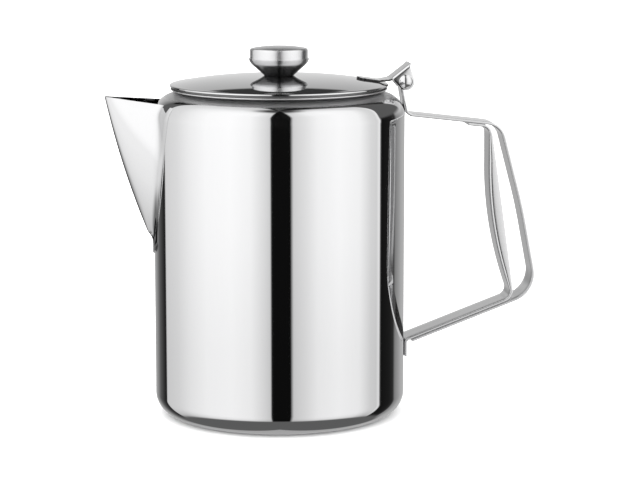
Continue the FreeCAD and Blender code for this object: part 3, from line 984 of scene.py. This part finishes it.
def knob_foot_steel():
    """Turned metal, with painted shade darkening it towards the lid."""
    material = steel("knob_foot_steel", BRIGHT, 0.2, 0.03, TURNED)
    paint_shade_by_height(material, KNOB_FOOT_SHADE)
    return material


def leaf_steel():
    """Rolled strip, with painted shade on the strap's cut edges."""
    material = steel("leaf_steel", BRIGHT, 0.12, 0.03, ROLLED, ROLLED_LINE_SHADE)
    paint_edge_shade(material, LEAF_EDGE_X, LEAF_EDGE_KEPT)
    return material


# ---------- studio ----------

def make_camera():
    """Long lens, a little above the lid and slightly to the spout's side of square on."""
    data = bpy.data.cameras.new("camera")
    data.lens = CAMERA_LENS
    data.sensor_width = 36.0
    data.clip_start = 0.05
    data.clip_end = 100.0
    camera = bpy.data.objects.new("camera", data)
    bpy.context.scene.collection.objects.link(camera)
    turn = CAMERA_AZIMUTH
    camera.location = (math.sin(turn) * CAMERA_DISTANCE, -math.cos(turn) * CAMERA_DISTANCE, CAMERA_HEIGHT)
    aim = Vector((math.cos(turn) * AIM_RIGHT, math.sin(turn) * AIM_RIGHT, AIM_HEIGHT))
    camera.rotation_mode = "QUATERNION"
    camera.rotation_quaternion = (aim - camera.location).to_track_quat("-Z", "Y")
    bpy.context.scene.camera = camera


def make_floor():
    """Plain pale floor, which the steel does not mirror."""
    corners = [(x * FLOOR_HALF, y * FLOOR_HALF, 0) for x, y in ((-1, -1), (1, -1), (1, 1), (-1, 1))]
    mesh = bpy.data.meshes.new("floor")
    mesh.from_pydata(corners, [], [(0, 1, 2, 3)])
    floor = bpy.data.objects.new("floor", mesh)
    floor.location.z = -FLOOR_DROP
    bpy.context.scene.collection.objects.link(floor)
    material = bpy.data.materials.new("pale_floor")
    material.use_nodes = True
    shader = material.node_tree.nodes["Principled BSDF"]
    shader.inputs["Base Color"].default_value = FLOOR_TINT
    shader.inputs["Roughness"].default_value = 1.0
    shader.inputs["Specular IOR Level"].default_value = 0.0
    mesh.materials.append(material)
    floor.visible_glossy = False


def mirrored_room(tree):
    """Level of the room in each direction: two soft panels with gaps, the room behind and the ground."""
    def calc(operation, *values, clamp=False):
        return combine(tree, operation, *values, clamp=clamp)

    def step(value, edge, soft):
        """0 below the edge and 1 above it, over a soft width."""
        return map_range(tree, value, edge - soft / 2, edge + soft / 2, smooth=True)

    def mix(share, low, high):
        """low where share is 0 and high where it is 1."""
        return calc("MULTIPLY_ADD", share, calc("SUBTRACT", high, low), low)

    # Azimuth is 0 towards the camera and grows to its right; both angles are in degrees.
    direction = split_xyz(tree, "Generated")
    turned = calc("ARCTAN2", direction["X"], calc("MULTIPLY", direction["Y"], -1.0))
    azimuth = calc("MULTIPLY", calc("SUBTRACT", turned, CAMERA_AZIMUTH), 180 / math.pi)
    sideways = calc("ABSOLUTE", azimuth)
    height = calc("MULTIPLY", calc("ARCSINE", direction["Z"]), 180 / math.pi)

    # The panels widen towards their tops.
    rise = map_range(tree, height, PANEL_SPREAD_FROM, PANEL_SPREAD_TO)
    along = calc("DIVIDE", azimuth, calc("MULTIPLY_ADD", calc("POWER", rise, 2.0), PANEL_SPREAD, 1.0))
    ring = graded(tree, along, RING, top=LEVEL_TOP)
    panel = calc("MULTIPLY", step(along, LEFT_EDGE, 2.0), calc("SUBTRACT", 1.0, step(along, RIGHT_EDGE, 2.0)))
    front = calc("MULTIPLY", ring, graded(tree, height, PANEL_FADE, top=LEVEL_TOP))

    # The lit part of the room behind stands higher at its sides than straight behind.
    back_height = calc("SUBTRACT", height, mix(step(sideways, STRAIGHT_BACK, 4.0), SIDE_LIFT, 0.0))
    behind = calc("MULTIPLY", ring, graded(tree, back_height, BACK_FADE, top=LEVEL_TOP))

    # Beside the panels it is dark above the horizon.
    corner = calc("MULTIPLY", step(height, CORNER_LOW, 8.0),
                  calc("SUBTRACT", 1.0, step(sideways, CORNER_BACK, 3.0)))
    upper = mix(panel, mix(corner, behind, CORNER), front)
    ground = mix(step(sideways, GROUND_TURN, 8.0), GROUND_FRONT, GROUND_BACK)
    return mix(step(height, GROUND_TOP, 7.0), ground, upper)


def make_world():
    """Plain white studio; only mirrored rays see the room."""
    world = bpy.data.worlds.new("studio")
    bpy.context.scene.world = world
    world.use_nodes = True
    tree = world.node_tree
    tree.nodes.clear()
    output = tree.nodes.new("ShaderNodeOutputWorld")
    background = tree.nodes.new("ShaderNodeBackground")
    tree.links.new(background.outputs["Background"], output.inputs["Surface"])
    glossy = tree.nodes.new("ShaderNodeLightPath").outputs["Is Glossy Ray"]
    gain = combine(tree, "SUBTRACT", mirrored_room(tree), ROOM)
    strength = combine(tree, "MULTIPLY_ADD", glossy, gain, ROOM)
    tree.links.new(combine(tree, "MULTIPLY", strength, LIGHT), background.inputs["Strength"])


# ---------- assembly ----------

def build():
    """Makes every piece, gives it its steel, and rides it on its CAD body in place of its CAD node."""
    turned = steel("turned_steel", BRIGHT, 0.06, 0.015, TURNED)
    knob = steel("knob_steel", BRIGHT, 0.26, 0.03, TURNED)
    strip = steel("strip_steel", BRIGHT, 0.12, 0.03, ROLLED, ROLLED_LINE_SHADE)
    satin = steel("satin_steel", SATIN, 0.32, 0.06, BRUSHED)
    pieces = (
        (make_body, "pot", "body_shell", "polished_steel", vessel_steel()),
        (make_spout, "pot", "spout", "polished_steel", spout_steel()),
        (make_outer_strip, "pot", "handle_outer_strip", "strip_steel", strip),
        (make_inner_strip, "pot", "handle_inner_strip", "strip_steel", strip),
        (make_pin, "pot", "hinge_pin", "polished_steel", turned),
        (make_leaf, "lid", "hinge_leaf", "strip_steel", leaf_steel()),
        (make_lid, "lid", "lid_cover", "polished_steel", lid_steel()),
        (make_pan, "lid", "lid_skirt", "plain_steel", pan_steel()),
        (make_knob_cup, "lid", "knob_cup", "polished_steel", knob_foot_steel()),
        (make_knob_cap, "lid", "knob_cap", "polished_steel", knob),
    )
    for make, body, node, slot, material in pieces:
        piece = make()
        piece.data.materials.clear()
        piece.data.materials.append(material)
        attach(piece, body)
        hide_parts(node)
    for node in ("knob_boss", "knob_washer", "knob_screw"):
        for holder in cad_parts[node].material_slots:
            holder.material = satin


build()
make_floor()
make_world()
make_camera()
bpy.context.scene.view_settings.view_transform = "Standard"
